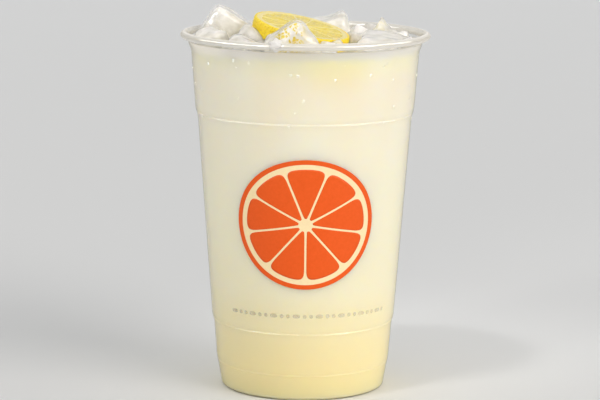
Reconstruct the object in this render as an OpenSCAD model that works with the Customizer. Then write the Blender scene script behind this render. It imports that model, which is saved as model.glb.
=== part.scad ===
// Clear takeaway cup of lemonade, with ice and a lemon slice standing out at the top.
// Millimetres, +Z up. The origin is the centre of the ring the cup stands on.
// The printed front of the cup faces -Y.

/* [Cup] */
// Height of the cup, from the table to the top of the lip
cup_h = 141; // [126:1:170]
// Outside diameter of the rolled lip
rim_d = 98; // [94:1:118]
// Thickness of the plastic
wall = 0.5; // [0.35:0.05:0.8]
// Width of the rolled lip, across the plastic
lip_w = 3.1; // [2.4:0.1:4]
// Height of the rolled lip
lip_h = 2.8; // [2:0.1:4]
// Height of the cylindrical collar just under the lip
collar_h = 1.6; // [1:0.1:4]
// How much the wall widens outwards for each millimetre of height
taper = 0.0745; // [0.05:0.001:0.09]
// The same for the rounder heel below the lowest ledge
heel_taper = 0.17; // [0.1:0.01:0.25]
// Rounding where the heel meets the base
heel_round = 2; // [1:0.1:4]
// Width of the ring that the cup stands on
foot_w = 4; // [2:0.5:8]
// Depth of the hollow under the base
base_lift = 2.5; // [1:0.5:5]

/* [Ledges] */
// Foot of the heel ledge, above the table
heel_ledge_z = 9; // [7:0.5:14]
// Foot of the lower grip ledge, above the table
low_ledge_z = 25.8; // [20:0.2:34]
// Foot of the upper grip ledge, below the top of the lip
high_ledge_drop = 32.8; // [28:0.2:44]
// Foot of the stacking ledge, below the top of the lip
stack_ledge_drop = 7.2; // [6:0.2:10]
// Height that each ledge takes to step out
ledge_rise = 2.6; // [1.5:0.1:4]
// How far the heel ledge steps out
heel_ledge_out = 0.6; // [0.3:0.1:1.5]
// How far the lower grip ledge steps out
low_ledge_out = 0.8; // [0.3:0.1:1.5]
// How far the upper grip ledge steps out
high_ledge_out = 0.9; // [0.3:0.1:1.5]
// How far the stacking ledge steps out
stack_ledge_out = 1.2; // [0.5:0.1:2]

/* [Lemonade] */
// Surface of the lemonade, below the top of the lip
fill_drop = 7; // [6:0.5:20]
// Gap between the lemonade and the inside of the cup
fill_gap = 0.05; // [0.02:0.01:0.3]

/* [Lemon slice] */
// Diameter of the slice
slice_d = 38; // [30:0.5:48]
// Thickness of the slice
slice_t = 6; // [4:0.5:8]
// Width of the peel and pith around the flesh
peel_w = 2.6; // [2:0.1:4]
// How far the flesh lies below the cut edge of the pith
flesh_dip = 0.3; // [0.1:0.1:0.6]
// Depth of the slice's low edge in the lemonade
slice_sink = 0.2; // [0:0.1:3]

/* [Ice] */
// Length of the longest cube's long edges
cube_edge = 24; // [18:1:30]
// Rounding of that cube's melted edges
cube_round = 3; // [2:0.5:4]
// Width of a cube's lower end as a share of its upper end
cube_taper = 0.9; // [0.8:0.01:1]
// Least gap that melting leaves between a cube and what it lies against
melt_gap = 0.3; // [0.2:0.1:1]

/* [Hidden] */

rim_r = rim_d / 2;
fill_z = cup_h - fill_drop;
lip_bottom_z = cup_h - lip_h;
high_ledge_z = cup_h - high_ledge_drop;
stack_ledge_z = cup_h - stack_ledge_drop;
collar_z = lip_bottom_z - collar_h;
collar_r = rim_r - lip_w;

// Outer radii, worked down from the collar: a ledge takes its step off, and the wall its taper.
stack_ledge_r = collar_r - stack_ledge_out;
high_ledge_top_r = stack_ledge_r - taper * (stack_ledge_z - high_ledge_z - ledge_rise);
high_ledge_r = high_ledge_top_r - high_ledge_out;
low_ledge_top_r = high_ledge_r - taper * (high_ledge_z - low_ledge_z - ledge_rise);
low_ledge_r = low_ledge_top_r - low_ledge_out;
heel_ledge_top_r = low_ledge_r - taper * (low_ledge_z - heel_ledge_z - ledge_rise);
heel_ledge_r = heel_ledge_top_r - heel_ledge_out;
heel_r = heel_ledge_r - heel_taper * (heel_ledge_z - heel_round);
floor_z = base_lift + wall;

// Points of an arc about [r, z], from angle a to angle b in steps of about 15 degrees.
function arc(r, z, across, up, a, b) =
    let (steps = ceil(abs(b - a) / 15))
    [for (i = [0 : steps]) let (t = a + (b - a) * i / steps) [r + across * cos(t), z + up * sin(t)]];

// The wall's outer line from the heel to the collar, moved inwards by inset.
function wall_line(inset) = [
    [heel_ledge_r - inset, heel_ledge_z],
    [heel_ledge_top_r - inset, heel_ledge_z + ledge_rise],
    [low_ledge_r - inset, low_ledge_z],
    [low_ledge_top_r - inset, low_ledge_z + ledge_rise],
    [high_ledge_r - inset, high_ledge_z],
    [high_ledge_top_r - inset, high_ledge_z + ledge_rise],
    [stack_ledge_r - inset, stack_ledge_z],
    [collar_r - inset, collar_z],
];

function reversed(list) = [for (i = [len(list) - 1 : -1 : 0]) list[i]];

// The line of the heel inside the cup, gap away from the plastic: it turns into the flat floor.
function heel_inside(gap) =
    arc(heel_r - heel_round, floor_z + heel_round - wall, heel_round - wall - gap,
        heel_round - wall - gap, -90, 0);

module cup() {
    foot_r = heel_r - heel_round;
    color("white", 0.35) rotate_extrude($fn = 180) polygon(concat(
        [[0, base_lift], [foot_r - foot_w, base_lift], [foot_r - foot_w + base_lift / 2, 0]],
        arc(foot_r, heel_round, heel_round, heel_round, -90, 0),
        wall_line(0),
        arc(rim_r - lip_w / 2, cup_h - lip_h / 2, lip_w / 2, lip_h / 2, -165, 90),
        [[collar_r, cup_h - wall / 2], [collar_r - wall, lip_bottom_z + wall]],
        reversed(wall_line(wall)),
        reversed(heel_inside(0)),
        [[0, floor_z]]));
}

// The inside of the cup, filled up to the surface of the lemonade.
module filling() {
    rotate_extrude($fn = 84) intersection() {
        polygon(concat([[0, floor_z + fill_gap]], heel_inside(fill_gap),
                       wall_line(wall + fill_gap), [[0, collar_z]]));
        square([rim_r, fill_z]);
    }
}

module lemonade() {
    color("lemonchiffon") difference() {
        filling();
        slice_in_place();
        for (i = [0 : len(ICE) - 1]) ice_in_place(i);
    }
}

// A wheel of lemon on its own centre, with the flesh a little lower than the pith on both sides.
// grow makes it larger all round, with flat sides.
module slice(grow = 0) {
    r = slice_d / 2 + grow;
    half = slice_t / 2 + grow;
    dip = grow > 0 ? 0 : flesh_dip;
    bulge = 0.5;
    rotate_extrude($fn = 120) polygon(concat(
        [[0, dip - half], [r - peel_w, dip - half], [r - peel_w + flesh_dip, -half]],
        arc(r - bulge, 0, bulge, half, -90, 90),
        [[r - peel_w + flesh_dip, half], [r - peel_w, half - dip], [0, half - dip]]));
}

// The slice leans to the right and a little to the front, and its low edge lies in the lemonade.
slice_lean = 12.6;
slice_nod = 6;
slice_reach = slice_d / 2 * sin(slice_lean) + slice_t / 2 * cos(slice_lean);
slice_place = [-1.9, -6, fill_z + slice_reach - slice_sink];

module slice_in_place(grow = 0) {
    translate(slice_place) rotate([slice_nod, slice_lean, 0]) slice(grow);
}

module lemon_slice() {
    color("gold") slice_in_place();
}

// The ice, one row to a cube: across and depth as shares of ice_span, the height of its middle
// over the lemonade as a share of cube_edge, its edges as shares of cube_edge, its turn about
// X, Y and Z, and the earlier rows whose cubes it lies against.
ICE = [
    [-1, 0.33, 0.135, [1, 0.65, 0.7], [0, 31, 4], []],
    [-1.21, -0.27, 0.06, [0.4, 0.48, 0.5], [10, -24, 24], [0]],
    [-0.16, -1.13, 0.15, [0.75, 0.56, 0.67], [4, -34.5, -4], []],
    [0.32, 0.82, -0.07, [0.92, 0.75, 0.95], [6, -18, 5], []],
    [1, 0.75, 0.09, [0.42, 0.42, 0.55], [28, 42, 0], [3]],
    [1, -0.07, -0.18, [0.75, 0.95, 0.8], [9, 6, -8], [3, 4]],
    [-0.55, 0.97, -0.1, [0.65, 0.55, 0.7], [-12, 20, 35], [0, 3]],
    [-0.82, -0.7, -0.13, [0.7, 0.7, 0.7], [10, 14, 40], [1, 2]],
];

// How far out from its middle the longest cube reaches when it is tilted, as a share of its edge,
// and so how far from the middle of the cup it can lie.
cube_reach = 0.62;
ice_span = stack_ledge_r - wall - cube_reach * cube_edge;

// A block with melted, round corners, a little narrower at its lower end.
module ice_block(size, round) {
    hull() for (x = [-1, 1], y = [-1, 1], z = [-1, 1]) {
        narrow = z < 0 ? cube_taper : 1;
        translate([x * (size.x / 2 * narrow - round), y * (size.y / 2 * narrow - round),
                   z * (size.z / 2 - round)])
            sphere(round, $fn = 16);
    }
}

// Row i's cube where it lies, larger all round by grow.
module block_in_place(i, grow = 0) {
    row = ICE[i];
    size = [for (share = row[3]) share * cube_edge + 2 * grow];
    translate([row[0] * ice_span, row[1] * ice_span, fill_z + row[2] * cube_edge])
        rotate(row[4]) ice_block(size, cube_round * min(row[3]) + grow);
}

// The cube has melted back from the slice and from the cubes that it lies against.
module ice_in_place(i) {
    difference() {
        block_in_place(i);
        slice_in_place(melt_gap);
        for (j = ICE[i][5]) block_in_place(j, melt_gap);
    }
}

module ice(i) {
    color("aliceblue", 0.7) ice_in_place(i);
}

cup();
lemonade();
lemon_slice();
ice(0);  // ice_left
ice(1);  // ice_chip
ice(2);  // ice_front
ice(3);  // ice_behind
ice(4);  // ice_tip
ice(5);  // ice_right
ice(6);  // ice_back
ice(7);  // ice_front_left
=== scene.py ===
import math

import bmesh
import bpy
import numpy as np
from mathutils import Matrix, Vector


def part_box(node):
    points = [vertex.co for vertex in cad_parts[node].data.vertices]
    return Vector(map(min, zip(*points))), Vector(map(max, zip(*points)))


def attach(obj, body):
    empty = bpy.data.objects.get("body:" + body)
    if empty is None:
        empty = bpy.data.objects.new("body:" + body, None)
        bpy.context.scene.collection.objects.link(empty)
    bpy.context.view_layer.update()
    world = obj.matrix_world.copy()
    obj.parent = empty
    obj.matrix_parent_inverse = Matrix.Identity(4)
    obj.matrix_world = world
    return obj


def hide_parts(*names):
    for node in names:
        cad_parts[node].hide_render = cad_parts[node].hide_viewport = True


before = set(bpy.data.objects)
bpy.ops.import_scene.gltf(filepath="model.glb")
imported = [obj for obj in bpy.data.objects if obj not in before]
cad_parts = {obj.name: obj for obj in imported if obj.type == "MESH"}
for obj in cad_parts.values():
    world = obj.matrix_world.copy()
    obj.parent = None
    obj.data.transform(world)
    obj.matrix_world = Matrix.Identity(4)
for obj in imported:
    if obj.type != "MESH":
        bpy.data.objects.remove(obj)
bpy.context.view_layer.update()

# ---------------------------------------------------------------------------------------------
# The cup. One sheet of clear plastic, drawn down over a mould: it has a raised base on a foot
# ring, a round heel, ledges that stiffen the wall, a stacking ledge and a lip rolled outwards.
# The sheet is a centre line with a thickness, turned about the cup's axis.
# ---------------------------------------------------------------------------------------------
MM = 0.001
RIM_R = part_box("cup")[1][0]
CUP_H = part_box("cup")[1][2]
WALL = 0.5 * MM
LIP_SHEET = 0.4 * MM
LIP_W = 3.1 * MM
LIP_H = 2.8 * MM
COLLAR_H = 1.6 * MM
STACK_DROP = 7.2 * MM
STACK_STEP = 1.2 * MM
WALL_LEDGES = ((CUP_H - 32.8 * MM, 0.9 * MM), (25.8 * MM, 0.8 * MM), (9 * MM, 0.6 * MM))
LEDGE_RISE = 2.6 * MM
TAPER = 0.0745
HEEL_TAPER = 0.17
HEEL_Z = 2 * MM
HEEL_INSET = 0.4 * MM
FOOT_W = 4 * MM
BASE_LIFT = 2.5 * MM
CUP_SIDES = 256
CORNER_REACH = 1.5 * MM
CURL_START = 180
CURL_END = -145
# How milky the sheet is. The lip is whiter in two bands, given as degrees round its curl and their
# share: painted highlights over the milk. It is darker in one band between them: painted shade.
WALL_MILK = 0.03
LIP_MILK = 0.42
HIGHLIGHT_SHARE = 0.55
HIGHLIGHT_BANDS = ((78, 1.0), (-35, 0.7))
HIGHLIGHT_BAND_W = 20
DARK_BAND = 15
DARK_BAND_W = 16
DARK_BAND_SHADE = 0.75


def ledges():
    """Outer corners of the wall from heel to collar, worked down from the lip: every ledge takes
    its step off the radius, and every stretch of wall between two ledges takes its taper."""
    radius, z = RIM_R - LIP_W, CUP_H - LIP_H - COLLAR_H
    corners = [(radius, z)]
    radius, z = radius - STACK_STEP, CUP_H - STACK_DROP
    corners.append((radius, z))
    for foot, step in WALL_LEDGES:
        radius -= TAPER * (z - foot - LEDGE_RISE)
        corners.append((radius, foot + LEDGE_RISE))
        radius, z = radius - step, foot
        corners.append((radius, z))
    corners.append((radius - HEEL_TAPER * (z - HEEL_Z), HEEL_Z))
    return corners[::-1]


def rounded(corners, reach, steps=6):
    """A line through corners with each inner corner rounded: a curve of second degree leaves the
    line reach before the corner, or half a side if that is less, and joins it reach after."""
    corners = np.array(corners, float)
    t = np.linspace(0, 1, steps)[:, None]
    line = [corners[:1]]
    for before, corner, after in zip(corners, corners[1:], corners[2:]):
        to_before, to_after = before - corner, after - corner
        start = corner + to_before * min(0.5, reach / np.linalg.norm(to_before))
        end = corner + to_after * min(0.5, reach / np.linalg.norm(to_after))
        line.append((1 - t) ** 2 * start + 2 * t * (1 - t) * corner + t ** 2 * end)
    return np.concatenate(line + [corners[-1:]])


def sheet_edges(line, thickness):
    """Outer and inner edge of a sheet: its centre line moved along its normals by half of its
    thickness, which may change along the line."""
    run = np.gradient(line, axis=0)
    normal = np.stack([run[:, 1], -run[:, 0]], axis=1) / np.linalg.norm(run, axis=1)[:, None]
    half = np.asarray(thickness)[:, None] / 2
    return line + normal * half, line - normal * half


def shell(rings, poles=None):
    """Points and faces of a closed surface through rings of points: quads join neighbouring
    rings. With two poles, a fan of triangles shuts each end; without, the last ring joins the
    first. The faces are turned round if the volume that they shut in comes out negative."""
    count, sides = rings.shape[:2]
    points = rings.reshape(-1, 3)
    ring = np.arange(count - 1 if poles is not None else count)[:, None]
    side = np.arange(sides)[None]
    here, there = ring % count * sides, (ring + 1) % count * sides
    turn = (side + 1) % sides
    quads = np.stack([here + side, here + turn, there + turn, there + side], -1).reshape(-1, 4)
    tris = np.zeros((0, 3), int)
    if poles is not None:
        start, end = len(points), len(points) + 1
        points = np.concatenate([points, np.array(poles)])
        around, on = side[0], turn[0]
        last = (count - 1) * sides
        tris = np.concatenate([np.stack([on, around, np.full(sides, start)], -1),
                               np.stack([last + around, last + on, np.full(sides, end)], -1)])
    halves = np.concatenate([quads[:, :3], quads[:, [0, 2, 3]], tris])
    a, b, c = (points[halves[:, k]] for k in range(3))
    if np.einsum("ij,ij->", a, np.cross(b, c)) < 0:
        quads, tris = quads[:, ::-1], tris[:, ::-1]
    return points, [quads, tris]


def piece(name, points, faces, finish, slot, *nodes):
    """A smooth mesh object of points and face arrays. It rides on the body, wears its material,
    and stands for the CAD nodes that it replaces. The slot is not used."""
    mesh = bpy.data.meshes.new(name)
    mesh.from_pydata(points, [], [face for kind in faces for face in kind.tolist()])
    mesh.shade_smooth()
    made = bpy.data.objects.new(name, mesh)
    bpy.context.scene.collection.objects.link(made)
    made.data.materials.append(finish)
    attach(made, "root")
    if nodes:
        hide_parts(*nodes)
    return made


def tag(made, name, values):
    """Keeps one number per point on the mesh, for the material to read."""
    made.data.attributes.new(name, "FLOAT", "POINT").data.foreach_set("value", values.ravel())


def turned(profile, sides=CUP_SIDES):
    """Rings of a profile of (radius, height) turned once about the upright axis."""
    angle = np.linspace(0, 2 * math.pi, sides, endpoint=False)
    radius, height = profile[:, :1], profile[:, 1:]
    return np.stack([radius * np.cos(angle), radius * np.sin(angle),
                     np.broadcast_to(height, (len(profile), sides))], axis=-1)


def add(tree, kind, inputs=None, **settings):
    """One shader node, with its settings, and each input given a value or a link."""
    made = tree.nodes.new(kind)
    for key, value in settings.items():
        setattr(made, key, value)
    for key, value in (inputs or {}).items():
        if isinstance(value, bpy.types.NodeSocket):
            tree.links.new(value, made.inputs[key])
        else:
            made.inputs[key].default_value = value
    return made


def material(name):
    """An empty node material and its output."""
    made = bpy.data.materials.new(name)
    made.use_nodes = True
    made.node_tree.nodes.clear()
    return made, made.node_tree, made.node_tree.nodes.new("ShaderNodeOutputMaterial")


def number(tree, operation, *values):
    """The result of one operation on two or three numbers."""
    return add(tree, "ShaderNodeMath", dict(enumerate(values)), operation=operation).outputs[0]


def ranged(tree, value, start, end, low=0.0, high=1.0, **settings):
    """A value carried over from the range start to end on to the range low to high, where it
    stops."""
    return add(tree, "ShaderNodeMapRange", {"Value": value, "From Min": start, "From Max": end,
                                            "To Min": low, "To Max": high}, **settings).outputs[0]


def mixed(tree, share, first, second):
    """A colour between two: the first where the share is 0, the second where it is 1."""
    return add(tree, "ShaderNodeMix", {"Factor": share, "A": first, "B": second},
               data_type="RGBA").outputs["Result"]


outer_line = np.array(ledges()) - (WALL / 2, 0)
foot_r = outer_line[0][0] - HEEL_Z
neck_r = RIM_R - LIP_W - LIP_SHEET / 2
wall_line = rounded([(0, BASE_LIFT + WALL / 2),
                     (foot_r - FOOT_W, BASE_LIFT + WALL / 2),
                     (foot_r - FOOT_W + BASE_LIFT / 2, WALL / 2),
                     (outer_line[0][0] - HEEL_INSET, WALL / 2),
                     *outer_line,
                     (neck_r, CUP_H - LIP_H)], CORNER_REACH)
lip_half_w = (RIM_R - LIP_SHEET / 2 - neck_r) / 2
lip_half_h = (LIP_H - LIP_SHEET) / 2
curl = np.linspace(CURL_START, CURL_END, 40)
lip_line = np.stack([neck_r + lip_half_w + lip_half_w * np.cos(np.radians(curl)),
                     CUP_H - LIP_H / 2 + lip_half_h * np.sin(np.radians(curl))], axis=1)
sheet = np.concatenate([wall_line, lip_line])
thin = np.clip((sheet[:, 1] - (CUP_H - LIP_H - COLLAR_H)) / COLLAR_H, 0, 1)
outside, inside = sheet_edges(sheet, WALL + (LIP_SHEET - WALL) * thin)

# The wall is clear and glossy, and the stretched lip is milky, so a share of the sheet scatters
# light; in the lip's white bands that share is raised as a painted highlight. A second share, which
# grows with the milk and towards grazing angles, mirrors what lies around it. The rest lets light
# through, darker where the sheet is seen edge on and in the lip's dark band of painted shade.
clear_plastic, tree, out = material("clear_plastic")
# The milk, raised by painted highlights in the lip's white bands, and the painted shade of its dark
# band.
milky = add(tree, "ShaderNodeAttribute", attribute_name="milk_and_highlight").outputs["Fac"]
shade = add(tree, "ShaderNodeAttribute", attribute_name="lip_shade").outputs["Fac"]
white = (1.0, 0.99, 0.95, 1)
scatter = add(tree, "ShaderNodeMixShader",
              {"Fac": 0.25, 1: add(tree, "ShaderNodeBsdfDiffuse", {"Color": white}).outputs[0],
               2: add(tree, "ShaderNodeBsdfTranslucent", {"Color": white}).outputs[0]})
edge_on = add(tree, "ShaderNodeLayerWeight", {"Blend": 0.35}).outputs["Facing"]
steep = number(tree, "POWER", edge_on, 4.0)
dark = number(tree, "MAXIMUM", steep, shade)
through = mixed(tree, dark, (1, 1, 1, 1), (0.62, 0.58, 0.47, 1))
clear = add(tree, "ShaderNodeBsdfTransparent", {"Color": through})
sheet_body = add(tree, "ShaderNodeMixShader", {"Fac": milky, 1: clear.outputs[0],
                                               2: scatter.outputs[0]})
gloss = ranged(tree, steep, 0.0, 1.0, number(tree, "MULTIPLY_ADD", milky, 0.35, 0.04), 0.25)
mirror = add(tree, "ShaderNodeBsdfGlossy", {"Color": (1, 1, 1, 1), "Roughness": 0.07})
film = add(tree, "ShaderNodeMixShader", {"Fac": gloss, 1: sheet_body.outputs[0],
                                         2: mirror.outputs[0]})
tree.links.new(film.outputs[0], out.inputs["Surface"])

section = np.concatenate([outside[1:], inside[:0:-1]])
cup = piece("clear_cup", *shell(turned(section), [(0, 0, outside[0][1]), (0, 0, inside[0][1])]),
            clear_plastic, "clear_plastic", "cup")
# Painted highlights: two white bands round the lip's curl. Painted shade: one dark band between them.
painted_highlight = sum(share * np.exp(-((curl - at) / HIGHLIGHT_BAND_W) ** 2) for at, share in HIGHLIGHT_BANDS)
painted_dark_band = DARK_BAND_SHADE * np.exp(-((curl - DARK_BAND) / DARK_BAND_W) ** 2)
milk_and_highlight = np.append(np.full(len(wall_line), WALL_MILK), LIP_MILK + HIGHLIGHT_SHARE * painted_highlight)
lip_shade = np.append(np.zeros(len(wall_line)), painted_dark_band)

# The mesh goes out along the outer face and back along the inner one, so each line is read twice.
for name, line in (("milk_and_highlight", milk_and_highlight), ("lip_shade", lip_shade)):
    tag(cup, name, np.append(np.repeat(np.concatenate([line[1:], line[:0:-1]]), CUP_SIDES), [0, 0]))

# ---------------------------------------------------------------------------------------------
# The print. Inks are rolled on to the cup before it is filled: a roundel like a cut orange on a
# cream ground, and below it a faint row of grey dashes that runs round the front.
# ---------------------------------------------------------------------------------------------
BADGE_Z = 70.7 * MM
BADGE_HALF = np.array([27.8, 25.4]) * MM
BADGE_TURN = math.radians(1)
GROUND_SHARE = 0.99
RIND_SHARE = 0.93
PITH_SHARE = 0.885
HUB_SHARE = 0.1
WEDGES = 9
WEDGE_START = 0.25
WEDGE_CORNERS = 0.28
SPOKE_W = 0.75 * MM
DASH_Z = 34.5 * MM
DASH_H = 1.5 * MM
DASH_GAP = 1.2 * MM
DASH_WIDTHS = np.array([3.0, 1.5, 1.5]) * MM
DASH_CORNERS = 0.7
DASH_ROW = (-35 * MM, 40 * MM)
INK = 0.03 * MM

wall_face = rounded(ledges(), CORNER_REACH)
badge_r = np.interp(BADGE_Z, wall_face[:, 1], wall_face[:, 0])


def wrapped(flat, lift):
    """Flat places, across from the front and up from the table, laid on the wall: across becomes
    an arc at the roundel's radius, and lift is added to the radius of the wall at that height."""
    radius = np.interp(flat[..., 1], wall_face[:, 1], wall_face[:, 0]) + lift
    angle = BADGE_TURN - math.pi / 2 + flat[..., 0] / badge_r
    return np.stack([radius * np.cos(angle), radius * np.sin(angle), flat[..., 1]], -1)


def inked(outlines, middles, start, lift):
    """Thin shells of ink, one for each outline. Rings are the outline shrunk towards its middle,
    from the share start to its full size on the ink's face, and back again on the wall. A start
    of 0 fills the outline, and any other leaves its middle open."""
    points, quads, tris, total = [], [], [], 0
    for outline, middle in zip(outlines, middles):
        shares = np.linspace(start, 1, 15)[0 if start else 1:, None, None]
        flat = middle + (outline - middle) * shares
        rings = np.concatenate([wrapped(flat, lift + INK), wrapped(flat[::-1], lift)])
        poles = None if start else [wrapped(middle, lift + INK), wrapped(middle, lift)]
        one, (four, three) = shell(rings, poles)
        points.append(one)
        quads.append(four + total)
        tris.append(three + total)
        total += len(one)
    return np.concatenate(points), [np.concatenate(quads), np.concatenate(tris)]


def evened(line, count):
    """A closed outline with its points moved to even steps along its length."""
    line = np.concatenate([line, line[:1]])
    along = np.concatenate([[0], np.cumsum(np.linalg.norm(np.diff(line, axis=0), axis=1))])
    even = np.linspace(0, along[-1], count, endpoint=False)
    return np.stack([np.interp(even, along, line[:, k]) for k in (0, 1)], -1)


def pillow(count, exponent):
    """A square from -1 to 1 with round corners: cosine and sine, each to a power with its sign,
    in even steps."""
    theta = np.linspace(0, 2 * math.pi, 2000, endpoint=False)
    line = np.stack([np.cos(theta), np.sin(theta)], -1)
    return evened(np.sign(line) * np.abs(line) ** exponent, count)


def ink(name, color, roughness):
    """Rolled ink, a little uneven: a fine noise thins its colour here and there."""
    made, tree, out = material(name)
    place = add(tree, "ShaderNodeTexCoord").outputs["Object"]
    mottle = add(tree, "ShaderNodeTexNoise", {"Vector": place, "Scale": 900.0, "Detail": 2.0})
    thinned = tuple(min(1.0, value * 1.12 + 0.01) for value in color)
    tone = mixed(tree, mottle.outputs[0], (*color, 1), (*thinned, 1))
    body = add(tree, "ShaderNodeBsdfPrincipled", {"Base Color": tone, "Roughness": roughness,
                                                  "IOR": 1.5, "Specular IOR Level": 0.2})
    tree.links.new(body.outputs[0], out.inputs["Surface"])
    return made, tree, body


turn = np.linspace(0, 2 * math.pi, 192, endpoint=False)
middle = np.array([0, BADGE_Z])
oval = middle + BADGE_HALF * np.stack([np.cos(turn), np.sin(turn)], -1)

# A wedge is a pillow laid round the middle: its length runs along the radius, and its opening
# leaves half a spoke free on either side.
wedge_line = pillow(120, WEDGE_CORNERS)
wedge_r = (PITH_SHARE - SPOKE_W / BADGE_HALF[1] + HUB_SHARE) / 2
wedge_rho = wedge_r + wedge_line[:, 0] * (wedge_r - HUB_SHARE)
half_open = math.pi / WEDGES - SPOKE_W / 2 / (wedge_rho * BADGE_HALF[1])
wedge_mid = (np.arange(WEDGES)[:, None] + WEDGE_START) * 2 * math.pi / WEDGES
wedge_phi = wedge_mid + wedge_line[:, 1] * half_open
wedges = middle + BADGE_HALF * np.stack([wedge_rho * np.cos(wedge_phi),
                                         wedge_rho * np.sin(wedge_phi)], -1)
orange_ink, _, _ = ink("orange_ink", (0.78, 0.098, 0.006), 0.38)
cream_ink, _, _ = ink("cream_ink", (0.93, 0.74, 0.44), 0.42)
piece("roundel_ground", *inked([middle + (oval - middle) * GROUND_SHARE], [middle], 0, 0.0),
      cream_ink, "clear_plastic")
piece("roundel_rind", *inked([oval], [middle], RIND_SHARE, INK), orange_ink, "clear_plastic")
piece("roundel_wedges", *inked(wedges, wedges.mean(1), 0, INK), orange_ink, "clear_plastic")

dash_w = np.tile(DASH_WIDTHS, 30)
dash_x = DASH_ROW[0] + np.cumsum(dash_w + DASH_GAP) - dash_w / 2
dash_w, dash_x = dash_w[dash_x < DASH_ROW[1]], dash_x[dash_x < DASH_ROW[1]]
dash_mid = np.stack([dash_x, np.full_like(dash_x, DASH_Z)], -1)
dash_half = np.stack([dash_w / 2, np.full_like(dash_w, DASH_H / 2)], -1)
dashes = dash_mid[:, None] + dash_half[:, None] * pillow(32, DASH_CORNERS)
grey_ink, tree, body = ink("grey_ink", (0.52, 0.50, 0.44), 0.5)
place = add(tree, "ShaderNodeTexCoord").outputs["Object"]
across = add(tree, "ShaderNodeSeparateXYZ", {0: place}).outputs["X"]
tree.links.new(ranged(tree, across, *DASH_ROW, 0.34, 0.16), body.inputs["Alpha"])
piece("dash_row", *inked(dashes, dash_mid, 0, 0.0), grey_ink, "clear_plastic")

# ---------------------------------------------------------------------------------------------
# The ice. Machine-made cubes with melted edges, cloudy inside and wet outside, tipped into the cup
# at all angles. Each is a rounded block with hollows where it has melted; chips lie between them.
# ---------------------------------------------------------------------------------------------
CUBE_EDGE = 24 * MM
CUBE_TAPER = 0.9
CUBE_CELLS = 48
CHIP_CELLS = 18
CHIP_REACH = RIM_R - LIP_W - STACK_STEP - WALL - 0.6 * MM
FLATS = 7
BROAD_SWELL = 0.30 * MM
FINE_SWELL = 0.05 * MM
CREASE_DEPTH = 0.08 * MM
CUBE_FLAT_EDGE = 0.5 * MM
CHIP_FLAT_EDGE = 0.2 * MM
CHIP_SHAPE = (1, 0.8, 0.62)
CHIP_ROUNDING = 0.2
CHIP_TILT = 0.6
# Node, shares of the edge, turns in degrees, rounding as a share of the least edge, how far the
# upper end is drawn in, and the share of painted refraction: the lemon's yellow, seen through it.
CUBES = (("ice_left", (1, 0.65, 0.7), (0, 31, 4), 0.2, 0, 0),
         ("ice_chip", (0.4, 0.48, 0.5), (10, -24, 24), 0.26, 0, 0),
         ("ice_front", (0.75, 0.56, 0.67), (4, -34.5, -4), 0.34, 0.18, 1),
         ("ice_behind", (0.92, 0.75, 0.95), (6, -18, 5), 0.18, 0, 0),
         ("ice_tip", (0.42, 0.42, 0.55), (28, 42, 0), 0.3, 0.6, 0.25),
         ("ice_right", (0.75, 0.95, 0.8), (9, 6, -8), 0.2, 0, 0),
         ("ice_back", (0.65, 0.55, 0.7), (-12, 20, 35), 0.25, 0, 0),
         ("ice_front_left", (0.7, 0.7, 0.7), (10, 14, 40), 0.25, 0, 0))
# Chips: across, depth, height of the middle and length in millimetres, and painted refraction.
CHIPS = ((-20, -14, 138.2, 14, 0), (-11, -26, 137, 12, 0), (-23, -26, 136.2, 10, 0),
         (-26, -33, 135.5, 7, 0), (-22, -5, 138, 8.5, 0), (-34, 22, 136, 8, 0),
         (-30, 29, 135.5, 7, 0), (9, -33, 134.5, 7, 0), (17, -36, 134, 6, 0),
         (9, -27, 137.3, 7, 0.5), (11.5, -20, 137.2, 5.5, 0.4), (33, -23, 135, 6, 0),
         (20, 3, 138, 8, 0), (22, 10, 138.5, 9, 0), (42, -9, 137, 6, 0), (41, 3, 136.5, 6, 0),
         (38, 14, 137, 8, 0), (36, 24, 137.5, 8, 0), (31, 32, 138, 8, 0), (24, 37, 137.5, 7, 0),
         (17.5, 37.5, 136.5, 6, 0))


def ripples(points, wavelength, seed, waves=14):
    """Smooth random relief, mostly between -1 and 1: the sum of plane waves of one wavelength
    that run in random directions, over the root of half their number."""
    rng = np.random.default_rng(seed)
    heading = rng.normal(size=(waves, 3))
    heading /= np.linalg.norm(heading, axis=1)[:, None]
    start = rng.uniform(0, 2 * math.pi, waves)
    heights = np.sin(points @ heading.T * (2 * math.pi / wavelength) + start)
    return heights.sum(-1) / (waves / 2) ** 0.5


def step_up(low, high, values):
    """0 below low, 1 above high and a smooth rise of third degree between."""
    t = np.clip((values - low) / (high - low), 0, 1)
    return t * t * (3 - 2 * t)


def tilted(points, turns):
    """Points turned about X, then Y, then Z, by angles in radians."""
    for axis, turn in zip("XYZ", turns):
        points = points @ np.array(Matrix.Rotation(turn, 3, axis)).T
    return points


def cube_faces(cells):
    """The six sides of a cube from -1 to 1, each a square grid of points, and its quads. Grid
    lines lie closer towards the edges, as the sine of even steps."""
    even = np.sin(np.linspace(-math.pi / 2, math.pi / 2, cells + 1))
    u, v = np.meshgrid(even, even, indexing="ij")
    at = np.arange(cells)[:, None] * (cells + 1) + np.arange(cells)[None]
    quad = np.stack([at, at + cells + 1, at + cells + 2, at + 1], -1).reshape(-1, 4)
    points, quads = [], []
    for axis in range(3):
        for sign in (-1, 1):
            side = np.empty((cells + 1, cells + 1, 3))
            side[..., axis] = sign
            side[..., (axis + 1) % 3] = u
            side[..., (axis + 2) % 3] = v * sign
            points.append(side.reshape(-1, 3))
            quads.append(quad + len(quads) * (cells + 1) ** 2)
    return np.concatenate(points), np.concatenate(quads)


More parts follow.
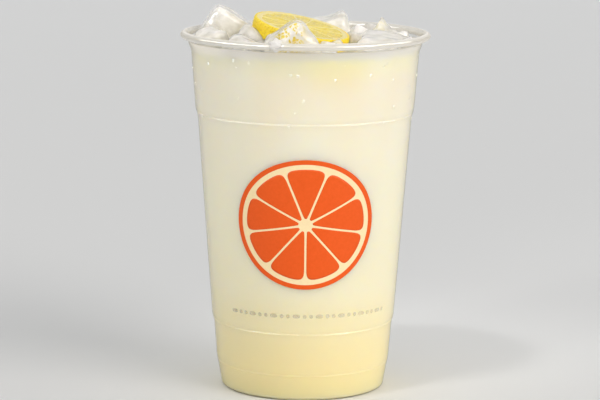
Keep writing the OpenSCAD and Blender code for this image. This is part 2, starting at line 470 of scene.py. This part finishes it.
def block(edges, rounding, cells):
    """A block with round edges and its outward directions: each point of a cube's side is brought
    to rounding away from the nearest point of a smaller block inside. The lower end is narrower."""
    points, quads = cube_faces(cells)
    half = np.array(edges) / 2
    core = np.clip(points * half, rounding - half, half - rounding)
    away = points * half - core
    away /= np.linalg.norm(away, axis=1)[:, None]
    points = core + rounding * away
    narrow = CUBE_TAPER + (1 - CUBE_TAPER) * (points[:, 2:] / edges[2] + 0.5)
    return points * np.concatenate([narrow, narrow, np.ones_like(narrow)], 1), away, quads


def melted(points, away, seed):
    """Points moved along their outward directions: a broad wave and a finer one swell and hollow
    the ice, and shallow creases run where a third wave is near zero."""
    broad = ripples(points, 14 * MM, seed)
    fine = ripples(points, 5 * MM, seed + 50)
    crease = np.exp(-(ripples(points, 10 * MM, seed + 90) / 0.2) ** 2)
    return points + away * (BROAD_SWELL * broad + FINE_SWELL * fine - CREASE_DEPTH * crease)[:, None]


def shaved(points, seed, softness):
    """Flat places melted on to a block: for each of a few random directions, what stands out past
    a share of the block's reach is pressed back to a plane, with a soft edge round it."""
    rng = np.random.default_rng(seed)
    for facing in rng.normal(size=(FLATS, 3)):
        facing /= np.linalg.norm(facing)
        reach = points @ facing
        over = (reach - reach.max() * rng.uniform(0.85, 0.96)) / softness
        points = points - np.outer(softness * np.logaddexp(0, over), facing)
    return points


def welded(points, quads):
    """The six sides of a block joined along their edges: points closer than a micrometre become
    one, and every face is turned outwards."""
    form = bmesh.new()
    raw = bpy.data.meshes.new("raw_block")
    raw.from_pydata(points, [], quads.tolist())
    form.from_mesh(raw)
    bmesh.ops.remove_doubles(form, verts=form.verts, dist=1e-6)
    bmesh.ops.recalc_face_normals(form, faces=form.faces)
    form.to_mesh(raw)
    form.free()
    points = np.empty(len(raw.vertices) * 3)
    raw.vertices.foreach_get("co", points)
    corners = np.empty(len(raw.loops), int)
    raw.loops.foreach_get("vertex_index", corners)
    bpy.data.meshes.remove(raw)
    return points.reshape(-1, 3), corners.reshape(-1, 4)


def fitted(points, low, high):
    """Points stretched along each axis until their box runs from low to high."""
    start, end = points.min(0), points.max(0)
    return np.array(low) + (points - start) / (end - start) * (np.array(high) - np.array(low))


def toned(tree, value, *stops):
    """A colour read off a ramp by value. Each stop is a position and a colour."""
    made = add(tree, "ShaderNodeValToRGB", {"Fac": value})
    ramp = made.color_ramp.elements
    ramp[0].position, ramp[0].color = stops[0]
    ramp[1].position, ramp[1].color = stops[-1]
    for at, color in stops[1:-1]:
        ramp.new(at).color = color
    return made.outputs[0]


# Ice scatters light inside. In patches and beside the lemon it is crackled: thin white cracks
# follow the borders of uneven cells, and beside the lemon some of the cells are painted with its
# yellow, a painted refraction of the slice behind. Towards its edges and in patches the ice is
# clearer, and a film of water makes it shine.
CELLS_PER_M = 700.0
cloudy_ice, tree, out = material("cloudy_ice")
place = add(tree, "ShaderNodeTexCoord").outputs["Object"]
glow = add(tree, "ShaderNodeAttribute", attribute_name="lemon_refraction").outputs["Fac"]
bent = add(tree, "ShaderNodeTexNoise", {"Vector": place, "Scale": 300.0, "Detail": 1.0})
spread = add(tree, "ShaderNodeVectorMath", {0: bent.outputs["Color"], 1: (0.0022, 0.0022, 0.0022)},
             operation="MULTIPLY")
warped = add(tree, "ShaderNodeVectorMath", {0: place, 1: spread.outputs[0]}, operation="ADD")
borders = add(tree, "ShaderNodeTexVoronoi", {"Vector": warped.outputs[0], "Scale": CELLS_PER_M},
              feature="DISTANCE_TO_EDGE").outputs["Distance"]
cells = add(tree, "ShaderNodeTexVoronoi", {"Vector": warped.outputs[0], "Scale": CELLS_PER_M})
cell_tone = add(tree, "ShaderNodeSeparateColor", {0: cells.outputs["Color"]}).outputs[0]
patches = add(tree, "ShaderNodeTexNoise", {"Vector": place, "Scale": 70.0, "Detail": 2.0})
crackled = number(tree, "MAXIMUM", ranged(tree, patches.outputs[0], 0.56, 0.68), glow)
crack = number(tree, "MULTIPLY", ranged(tree, borders, 0.0, 0.12, 1.0, 0.0), crackled)
cloud = add(tree, "ShaderNodeTexNoise", {"Vector": place, "Scale": 110.0, "Detail": 3.0}).outputs[0]
tone = toned(tree, cloud, (0.3, (0.93, 0.90, 0.81, 1)), (0.7, (0.98, 0.97, 0.93, 1)))
# Painted refraction: cells beside the lemon take its yellow.
yellow_share = number(tree, "MULTIPLY", ranged(tree, cell_tone, 0.25, 0.45), glow)
tinted = mixed(tree, yellow_share, tone, (0.80, 0.65, 0.08, 1))
frosted = mixed(tree, crack, tinted, (0.99, 0.98, 0.94, 1))
bump = add(tree, "ShaderNodeBump", {"Height": number(tree, "MULTIPLY", borders, crackled),
                                    "Strength": 0.45, "Distance": 0.0008})
ice_edge = add(tree, "ShaderNodeLayerWeight", {"Blend": 0.3}).outputs["Facing"]
glassy = number(tree, "MAXIMUM", ranged(tree, cloud, 0.38, 0.6, 0.42, 0.06),
                ranged(tree, ice_edge, 0.25, 1.0, 0.0, 0.6))
wet_ice = add(tree, "ShaderNodeBsdfPrincipled",
              {"Base Color": frosted, "Roughness": 0.07, "IOR": 1.31,
               "Transmission Weight": glassy, "Subsurface Weight": 1.0,
               "Subsurface Radius": (1.0, 1.0, 0.95), "Subsurface Scale": 0.006,
               "Coat Weight": 0.6, "Coat Roughness": 0.06, "Normal": bump.outputs[0]})
tree.links.new(wet_ice.outputs[0], out.inputs["Surface"])

# Cubes and chips. The points of both are kept, so that the lemonade can creep up them.
waterline = []
for seed, (node, shares, turns, rounding, draw_in, lemon_refraction_share) in enumerate(CUBES):
    points, away, quads = block(np.array(shares) * CUBE_EDGE, rounding * min(shares) * CUBE_EDGE,
                                CUBE_CELLS)
    points = tilted(shaved(melted(points, away, seed), seed, CUBE_FLAT_EDGE), np.radians(turns))
    low, high = points.min(0), points.max(0)
    height = (points[:, 2:] - low[2]) / (high[2] - low[2])
    points[:, :2] -= (points[:, :2] - (low + high)[:2] / 2) * draw_in * step_up(0.35, 1, height)
    points, quads = welded(fitted(points, *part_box(node)), quads)
    cube = piece(node + "_melted", points, [quads], cloudy_ice, "ice", node)
    low, high = points.min(0), points.max(0)
    # The band across the block where the lemon's yellow is painted on as refraction.
    share_x = (points[:, 0] - low[0]) / (high[0] - low[0])
    beside_lemon = step_up(0.12, 0.3, share_x) * (1 - step_up(0.6, 0.78, share_x))
    tag(cube, "lemon_refraction", lemon_refraction_share * beside_lemon)
    waterline.append(points)

chip_points, chip_away, chip_quads = block(CHIP_SHAPE, CHIP_ROUNDING, CHIP_CELLS)
chips, chip_faces, chip_lemon_refraction = [], [], []
rng = np.random.default_rng(8)
for seed, (x, y, z, length, lemon_refraction_share) in enumerate(CHIPS):
    points = melted(chip_points * length * MM, chip_away, seed + 20)
    points = shaved(points, seed, CHIP_FLAT_EDGE)
    points = tilted(points, rng.uniform(-CHIP_TILT, CHIP_TILT, 3)) + np.array((x, y, z)) * MM
    reach = np.linalg.norm(points[:, :2], axis=1).max()
    points[:, :2] -= max(0, reach - CHIP_REACH) * np.array((x, y)) / math.hypot(x, y)
    points, quads = welded(points, chip_quads)
    chip_faces.append(quads + sum(len(chip) for chip in chips))
    chips.append(points)
    chip_lemon_refraction.append(np.full(len(points), lemon_refraction_share))
chip_heap = piece("ice_chips", np.concatenate(chips), chip_faces, cloudy_ice, "ice")
tag(chip_heap, "lemon_refraction", np.concatenate(chip_lemon_refraction))
waterline += chips

# ---------------------------------------------------------------------------------------------
# The lemon slice. A wheel cut across the fruit: rind with pores, pale pith, and segments of juice
# sacs between thin skins. It leans on the ice with its low edge in the lemonade.
# ---------------------------------------------------------------------------------------------
SLICE_R = 19 * MM
SLICE_HALF = 3 * MM
RIND_W = 0.9 * MM
PITH_W = 1.8 * MM
CORE_R = 1.5 * MM
SKIN_W = 0.35 * MM
EDGE_ROUND = 0.5 * MM
SEGMENT_CORNER = 0.55 * MM
FLESH_DIP = 0.34 * MM
SEGMENT_SWELL = 0.2 * MM
SAC_RELIEF = 0.07 * MM
PITH_RELIEF = 0.05 * MM
RIND_RELIEF = 0.004
FLESH_R = 0.62 * SLICE_R
SEGMENTS = 10
SLICE_NOD = math.radians(6)
SLICE_LEAN = math.radians(12.6)
SLICE_SIDES = 480

flesh_end = SLICE_R - RIND_W - PITH_W
angle = np.linspace(0, 2 * math.pi, SLICE_SIDES, endpoint=False)[None]
face_r = np.concatenate([np.linspace(0, CORE_R, 5)[1:-1],
                         np.linspace(CORE_R, flesh_end, 56),
                         np.linspace(flesh_end, SLICE_R - EDGE_ROUND, 14)[1:]])[:, None]
rng = np.random.default_rng(4)
skin_angle = np.linspace(0, 2 * math.pi, SEGMENTS, endpoint=False) + rng.uniform(-0.09, 0.09, SEGMENTS)

# How far a point of a cut face lies inside its segment: the lesser of its distances to the nearest
# skin and to the ends of the segment, blended so that the corners come out round.
aside = np.abs((angle[..., None] - skin_angle + math.pi) % (2 * math.pi) - math.pi).min(-1)
to_skin = face_r * np.sin(np.minimum(aside, 1.2)) - SKIN_W / 2
to_end = np.minimum(flesh_end - face_r, face_r - CORE_R) + 0 * angle
inward = -SEGMENT_CORNER * np.log(np.exp(-to_skin / SEGMENT_CORNER) + np.exp(-to_end / SEGMENT_CORNER))
flesh = step_up(-0.05 * MM, 0.3 * MM, inward)

# The flesh lies a little below the skins and swells in the middle of each segment. Juice sacs are
# ripples that are longer along the radius.
polar = np.stack([face_r + 0 * angle, angle * FLESH_R + 0 * face_r,
                  np.zeros((len(face_r), SLICE_SIDES))], -1)
sacs = ripples(polar * (0.32, 1.0, 1.0), 1.25 * MM, 11) + 0.5 * ripples(polar, 0.9 * MM, 12)
swell = step_up(0, 2.2 * MM, inward)
face_z = (SLICE_HALF + (SEGMENT_SWELL * swell + SAC_RELIEF * sacs - FLESH_DIP) * flesh
          + PITH_RELIEF * ripples(polar, 3 * MM, 13) * (1 - flesh))

# Between the two cut faces the rind bulges, as a cosine and a sine to a power. Fine ripples dimple
# it, and the whole wheel is then tilted.
bend = np.linspace(math.pi / 2, -math.pi / 2, 22)[1:-1, None]
rim_r = SLICE_R - EDGE_ROUND + EDGE_ROUND * np.abs(np.cos(bend)) ** 0.6 + 0 * angle
rim_z = SLICE_HALF * np.sign(np.sin(bend)) * np.abs(np.sin(bend)) ** 0.8 + 0 * angle
radius = np.concatenate([face_r + 0 * angle, rim_r, face_r[::-1] + 0 * angle])
level = np.concatenate([face_z, rim_z, -face_z[::-1]])
wheel = np.stack([radius * np.cos(angle), radius * np.sin(angle), level], -1)
peel = step_up(SLICE_R - RIND_W - 0.4 * MM, SLICE_R - RIND_W + 0.3 * MM, radius)
wheel *= 1 - (RIND_RELIEF * ripples(wheel, 1.1 * MM, 14) * peel)[..., None] * (1, 1, 0)
wheel = tilted(wheel.reshape(-1, 3), (SLICE_NOD, SLICE_LEAN, 0)).reshape(wheel.shape)
hub = tilted(np.array([(0, 0, SLICE_HALF), (0, 0, -SLICE_HALF)]), (SLICE_NOD, SLICE_LEAN, 0))
centre = np.array(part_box("lemon_slice")).mean(0)
all_flesh = np.concatenate([flesh, np.zeros_like(rim_r), flesh[::-1]])

# Flesh has a grain that runs outwards and is wet where it is cut. The pith is pale, and the rind
# is darker and dimpled where its pores are.
fruit, tree, out = material("lemon_flesh_and_rind")
place = add(tree, "ShaderNodeTexCoord").outputs["Object"]
flesh_at = add(tree, "ShaderNodeAttribute", attribute_name="flesh").outputs["Fac"]
peel_at = add(tree, "ShaderNodeAttribute", attribute_name="peel").outputs["Fac"]
across_at = add(tree, "ShaderNodeAttribute", attribute_name="across").outputs["Fac"]
around_at = add(tree, "ShaderNodeAttribute", attribute_name="around").outputs["Fac"]
ray = add(tree, "ShaderNodeCombineXYZ", {"X": across_at, "Y": around_at})
stretched = add(tree, "ShaderNodeMapping", {"Vector": ray.outputs[0], "Scale": (3.0, 9.0, 1.0)})
grain = add(tree, "ShaderNodeTexNoise", {"Vector": stretched.outputs[0], "Scale": 3.0, "Detail": 3.0})
juice_tone = toned(tree, grain.outputs[0], (0.3, (0.65, 0.51, 0.055, 1)),
                   (0.7, (0.81, 0.70, 0.22, 1)))
pores = add(tree, "ShaderNodeTexVoronoi", {"Vector": place, "Scale": 1100.0})
pit = ranged(tree, pores.outputs["Distance"], 0.1, 0.45)
rind_tone = mixed(tree, pit, (0.74, 0.48, 0.006, 1), (0.93, 0.71, 0.015, 1))
inner = mixed(tree, flesh_at, (0.78, 0.70, 0.33, 1), juice_tone)
fruit_bump = add(tree, "ShaderNodeBump", {"Height": number(tree, "MULTIPLY", pit, peel_at),
                                          "Strength": 0.5, "Distance": 0.0003})
pulp = add(tree, "ShaderNodeBsdfPrincipled",
           {"Base Color": mixed(tree, peel_at, inner, rind_tone),
            "Roughness": ranged(tree, flesh_at, 0.0, 1.0, 0.42, 0.16), "IOR": 1.4,
            "Subsurface Weight": 0.5, "Subsurface Radius": (1.0, 0.8, 0.25),
            "Subsurface Scale": 0.0025, "Normal": fruit_bump.outputs[0]})
tree.links.new(pulp.outputs[0], out.inputs["Surface"])

lemon = piece("lemon_wheel", *shell(wheel + centre, hub + centre), fruit, "lemon", "lemon_slice")
tag(lemon, "flesh", np.append(all_flesh, [0, 0]))
tag(lemon, "peel", np.append(peel, [0, 0]))
tag(lemon, "across", np.append(radius, [0, 0]) / SLICE_R)
tag(lemon, "around", np.append(np.broadcast_to(angle, radius.shape), [0, 0]))
waterline.append((wheel + centre)[:, ::4].reshape(-1, 3))

# ---------------------------------------------------------------------------------------------
# The lemonade. Cloudy juice and water, poured over the ice up to the stacking ledge. It reaches
# the middle of the plastic, leaves a film on the wall up to the lip, and creeps up ice and lemon.
# ---------------------------------------------------------------------------------------------
FILL_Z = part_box("lemonade")[1][2]
WALL_FILM = CUP_H - LIP_H - 0.3 * MM - FILL_Z
CREEP = 0.55 * MM
CREEP_REACH = 1.1 * MM
SURFACE_WAVE = 0.06 * MM
AT_WATERLINE = 0.25 * MM
UNDER_LEMON = (13 * MM, -44 * MM, 136 * MM)
TOP_RINGS = 100

# The surface stands higher by the wall and by whatever floats in it, by a height that falls off as
# an exponential of the distance. Its rings lie closer near the wall.
wet = wall_line[wall_line[:, 1] < FILL_Z + WALL_FILM]
side_r = wet[-1][0]
across = side_r * (1 - np.linspace(0, 1, TOP_RINGS)[1:-1] ** 1.1)
top = turned(np.stack([across, FILL_Z + WALL_FILM * np.exp((across - side_r) / CREEP_REACH)], axis=1))
solids = np.concatenate(waterline)
solids = solids[np.abs(solids[:, 2] - FILL_Z) < AT_WATERLINE][:, :2]
gap = np.full(top.shape[:2], np.inf)
for part in np.array_split(solids, 40):
    gap = np.minimum(gap, np.linalg.norm(top[:, :, None, :2] - part, axis=-1).min(-1))
top[..., 2] += CREEP * np.exp(-gap / CREEP_REACH) + SURFACE_WAVE * ripples(top, 9 * MM, 77)

# The tone goes by height: yellow at the base, pale above, and lighter and yellower again at the
# top, which is painted light on the film under the lip, where it faces down into shade. In the
# upper half, blotches like sunk ice make it paler, and painted yellow light from the slice falls on
# what lies under it.
cloudy, tree, out = material("cloudy_lemonade")
place = add(tree, "ShaderNodeTexCoord").outputs["Object"]
height = add(tree, "ShaderNodeSeparateXYZ", {0: place}).outputs["Z"]
full_share = ranged(tree, height, 0.0, FILL_Z)
# The last stop, at the top, is painted light on the shaded film under the lip.
tone = toned(tree, full_share, (0.0, (0.91, 0.77, 0.38, 1)), (0.17, (0.93, 0.82, 0.49, 1)),
             (0.32, (0.95, 0.87, 0.64, 1)), (0.55, (0.96, 0.89, 0.69, 1)),
             (0.93, (0.92, 0.855, 0.70, 1)), (1.0, (0.98, 0.89, 0.64, 1)))
upright = add(tree, "ShaderNodeMapping", {"Vector": place, "Scale": (1, 1, 0.4)})
streaks = add(tree, "ShaderNodeTexNoise", {"Vector": upright.outputs[0], "Scale": 45.0, "Detail": 2.0})
sunk_ice = add(tree, "ShaderNodeTexVoronoi", {"Vector": upright.outputs[0], "Scale": 60.0,
                                              "Smoothness": 0.6}, feature="SMOOTH_F1")
blotch = number(tree, "SUBTRACT", streaks.outputs[0], sunk_ice.outputs["Distance"])
veil = number(tree, "MULTIPLY", ranged(tree, blotch, -0.33, 0.3, 0.0, 0.5),
              ranged(tree, full_share, 0.5, 0.85))
milky = mixed(tree, veil, tone, (0.98, 0.93, 0.80, 1))
# Painted light: yellow from the slice, falling on the lemonade under it.
from_lemon = add(tree, "ShaderNodeVectorMath", {0: place, 1: UNDER_LEMON}, operation="DISTANCE")
painted_lemon_light = ranged(tree, from_lemon.outputs["Value"], 0.005, 0.021, 0.45, 0.0,
                    interpolation_type="SMOOTHSTEP")
with_lemon_light = mixed(tree, painted_lemon_light, milky, (0.91, 0.80, 0.40, 1))
juice = add(tree, "ShaderNodeBsdfPrincipled",
            {"Base Color": with_lemon_light, "Roughness": 0.2, "IOR": 1.34, "Specular IOR Level": 0.3,
             "Subsurface Weight": 1.0, "Subsurface Radius": (1.0, 0.9, 0.6),
             "Subsurface Scale": 0.01})
tree.links.new(juice.outputs[0], out.inputs["Surface"])
skin = np.concatenate([turned(wet[1:]), top])
piece("lemonade_body", *shell(skin, [(0, 0, wet[0][1]), (0, 0, FILL_Z)]), cloudy, "lemonade", "lemonade")

# ---------------------------------------------------------------------------------------------
# Bubbles and drops. Bubbles gather where the lemonade meets the wall and the ice, drops of
# condensed water sit on the upper wall, and one lump of frosty slush hangs over the lip.
# ---------------------------------------------------------------------------------------------
BUBBLES = 220
WALL_SHARE = 0.55
FLOAT_H = 0.35 * MM
DROPS = 60
DROP_TOP = CUP_H - 7.5 * MM
DROP_SPREAD = 13 * MM
DROP_DEPTH = 0.55
DROP_HEIGHT = 1.15
SLUSH_X = -11 * MM
SLUSH_R = RIM_R - 1.3 * MM
SLUSH_Z = CUP_H - 0.7 * MM
SLUSH_HALF = np.array([2.6, 1.5, 2.3]) * MM


def ball(rings, sides):
    """Points and faces of a ball of radius 1: latitude by longitude, with a pole at each end."""
    tilt = np.linspace(-math.pi / 2, math.pi / 2, rings + 2)[1:-1, None]
    turn = np.linspace(0, 2 * math.pi, sides, endpoint=False)[None]
    grid = np.stack([np.cos(tilt) * np.cos(turn), np.cos(tilt) * np.sin(turn),
                     np.sin(tilt) + 0 * turn], -1)
    return shell(grid, [(0, 0, -1), (0, 0, 1)])


def copies(shape, frames, places):
    """Many copies of one shape as one mesh: each is multiplied by its own three axes and moved
    to its own place, and the numbers of its faces are moved on."""
    points, faces = shape
    moved = np.einsum("pk,nkc->npc", points, frames) + places[:, None]
    step = np.arange(len(places))[:, None, None] * len(points)
    return moved.reshape(-1, 3), [(face[None] + step).reshape(-1, face.shape[1]) for face in faces]


# Water lets light through, and mirrors a share that grows towards its edge. Foam is white.
water, tree, out = material("clear_water")
drop_edge = add(tree, "ShaderNodeLayerWeight", {"Blend": 0.4}).outputs["Facing"]
clear = add(tree, "ShaderNodeBsdfTransparent", {"Color": (1.0, 1.0, 0.99, 1)})
mirror = add(tree, "ShaderNodeBsdfGlossy", {"Color": (1, 1, 1, 1), "Roughness": 0.04})
drop_film = add(tree, "ShaderNodeMixShader", {"Fac": ranged(tree, drop_edge, 0.3, 1.0, 0.3, 0.75),
                                              1: clear.outputs[0], 2: mirror.outputs[0]})
tree.links.new(drop_film.outputs[0], out.inputs["Surface"])
foam, tree, out = material("white_foam")
froth = add(tree, "ShaderNodeBsdfPrincipled",
            {"Base Color": (0.97, 0.94, 0.84, 1), "Roughness": 0.08, "IOR": 1.34,
             "Subsurface Weight": 1.0, "Subsurface Radius": (1.0, 0.95, 0.8),
             "Subsurface Scale": 0.002})
tree.links.new(froth.outputs[0], out.inputs["Surface"])

# Bubbles lie near the wall or beside ice and lemon, and float on the surface, which climbs by the
# wall. Drops are thickest under the lip and get rarer downwards.
rng = np.random.default_rng(5)
size = rng.uniform(0.25, 0.8, BUBBLES) ** 1.4 * MM
at_wall = rng.random(BUBBLES) < WALL_SHARE
turn = rng.uniform(0, 2 * math.pi, BUBBLES)
wall_r = inside[np.abs(inside[:, 1] - FILL_Z).argmin()][0]
from_axis = wall_r - size * rng.uniform(3.0, 8.0, BUBBLES)
wall_xy = np.stack([np.cos(turn), np.sin(turn)], -1) * from_axis[:, None]
ice_xy = solids[rng.integers(len(solids), size=BUBBLES)] + rng.normal(size=(BUBBLES, 2)) * 0.8 * MM
bubble_xy = np.where(at_wall[:, None], wall_xy, ice_xy)
bubble_xy = bubble_xy[np.linalg.norm(bubble_xy, axis=1) < side_r - 1.5 * MM]
from_wall = side_r - np.linalg.norm(bubble_xy, axis=1)
afloat = FILL_Z + FLOAT_H + WALL_FILM * np.exp(-from_wall / CREEP_REACH)
bubble_at = np.concatenate([bubble_xy, afloat[:, None]], 1)
axes = np.eye(3)[None] * size[:len(bubble_at), None, None]
piece("bubbles", *copies(ball(6, 12), axes, bubble_at), foam, "lemonade")

z = DROP_TOP - np.abs(rng.normal(size=DROPS)) * DROP_SPREAD
turn = rng.uniform(0, 2 * math.pi, DROPS)
radius = np.interp(z, wall_face[:, 1], wall_face[:, 0])
size = rng.uniform(0.25, 0.75, DROPS) * MM
outward = np.stack([np.cos(turn), np.sin(turn), 0 * turn], -1)
sideways = np.stack([-np.sin(turn), np.cos(turn), 0 * turn], -1)
upward = np.broadcast_to([0, 0, 1.0], (DROPS, 3))
axes = np.stack([outward * DROP_DEPTH, sideways, upward * DROP_HEIGHT], 1) * size[:, None, None]
drop_at = outward * radius[:, None] + upward * z[:, None]
piece("wall_drops", *copies(ball(7, 12), axes, drop_at), water, "ice")

points, faces = ball(24, 36)
points = points * (1 + 0.13 * ripples(points, 0.9, 6)[:, None]) * SLUSH_HALF
points += (SLUSH_X, -math.sqrt(SLUSH_R ** 2 - SLUSH_X ** 2), SLUSH_Z)
slush = piece("slush_on_lip", points, faces, cloudy_ice, "ice")
tag(slush, "lemon_refraction", np.zeros(len(points)))

# ---------------------------------------------------------------------------------------------
# The table, the lights and the camera. A pale sheet lies on the table and rises behind the cup.
# ---------------------------------------------------------------------------------------------
SWEEP_W = 6.0
SWEEP_FRONT = -3.0
SWEEP_BACK = 2.0
SWEEP_BEND = 0.5
SWEEP_TOP = 3.5
STRIP_W = 0.06
LOOK_DOWN = math.radians(9.56)
ROLL = math.radians(0.51)
VIEWER_AT = (-1.56 * MM, -1.0, CUP_H + 101.3 * MM)


def sweep():
    """A level sheet that turns up in a quarter circle and stands behind the cup."""
    arc = np.radians(np.linspace(-90, 0, 24))
    bend_depth, bend_rise = SWEEP_BACK + SWEEP_BEND * np.cos(arc), SWEEP_BEND * (1 + np.sin(arc))
    depth = np.concatenate([[SWEEP_FRONT], bend_depth, [SWEEP_BACK + SWEEP_BEND]])
    rise = np.concatenate([[0.0], bend_rise, [SWEEP_TOP]])
    points = np.stack([np.stack([np.full_like(depth, x), depth, rise], -1)
                       for x in (-SWEEP_W / 2, SWEEP_W / 2)])
    count = len(depth)
    at = np.arange(count - 1)
    faces = np.stack([at, at + count, at + count + 1, at + 1], -1)
    mesh = bpy.data.meshes.new("pale_sheet")
    mesh.from_pydata(points.reshape(-1, 3), [], faces.tolist())
    mesh.shade_smooth()
    made = bpy.data.objects.new("pale_sheet", mesh)
    bpy.context.scene.collection.objects.link(made)
    return made


floor = sweep()
paper, tree, out = material("pale_paper")
plain = add(tree, "ShaderNodeBsdfPrincipled", {"Base Color": (0.76, 0.79, 0.82, 1), "Roughness": 0.8})
tree.links.new(plain.outputs[0], out.inputs["Surface"])
floor.data.materials.append(paper)


def soft_light(kind, name, place, size, strength, tint):
    """A lamp at place that faces the upper part of the cup. Its size is the length of a strip, the
    radius of a spot, or the angle of a sun, which lights near and far alike."""
    lamp = bpy.data.lights.new(name, kind)
    setattr(lamp, {"SUN": "angle", "SPOT": "shadow_soft_size", "AREA": "size"}[kind], size)
    lamp.energy = strength
    lamp.color = tint
    made = bpy.data.objects.new(name, lamp)
    bpy.context.scene.collection.objects.link(made)
    made.location = place
    aim = Vector((0, 0, CUP_H * 0.85))
    made.rotation_euler = (Vector(place) - aim).to_track_quat("Z", "Y").to_euler()
    return made


# A broad warm sun from the right, three strips that show only as gloss, and two narrow spots that
# brighten the ice and the upper wall.
soft_light("SUN", "key_light", (0.9, -0.75, 0.6), 0.7, 1.5, (1.0, 0.93, 0.86))
for name, place, length, strength in (("front_strip", (-0.18, -0.45, 0.5), 2.0, 3.5),
                                      ("left_strip", (-0.6, -0.1, 0.45), 0.9, 2.5),
                                      ("right_strip", (0.6, -0.1, 0.45), 0.9, 2.5)):
    strip = soft_light("AREA", name, place, length, strength, (1.0, 0.98, 0.94))
    strip.visible_diffuse = False
    strip.data.shape = "RECTANGLE"
    strip.data.size_y = STRIP_W
for name, place, radius, strength, cone, tint in (
        ("overhead_light", (-0.25, -0.30, 0.85), 0.08, 10.0, 12, (1.0, 0.96, 0.91)),
        ("upper_fill", (-0.42, -0.48, 0.36), 0.12, 9.5, 14, (1.0, 0.94, 0.88))):
    spot = soft_light("SPOT", name, place, radius, strength, tint)
    spot.data.spot_size = math.radians(cone)
    spot.data.spot_blend = 1.0

world = bpy.data.worlds.new("pale_room")
world.use_nodes = True
world.node_tree.nodes["Background"].inputs["Color"].default_value = (1.0, 0.965, 0.925, 1)
world.node_tree.nodes["Background"].inputs["Strength"].default_value = 0.62
bpy.context.scene.world = world
bpy.context.scene.view_settings.view_transform = "Standard"

# The viewer stands a metre away, a little above the rim, and looks down through a long lens.
camera = bpy.data.cameras.new("camera")
camera.lens = 153.6
camera.sensor_width = 36
viewer = bpy.data.objects.new("camera", camera)
bpy.context.scene.collection.objects.link(viewer)
viewer.rotation_euler = (Matrix.Rotation(math.pi / 2 - LOOK_DOWN, 3, "X")
                         @ Matrix.Rotation(ROLL, 3, "Z")).to_euler()
viewer.location = VIEWER_AT
bpy.context.scene.camera = viewer
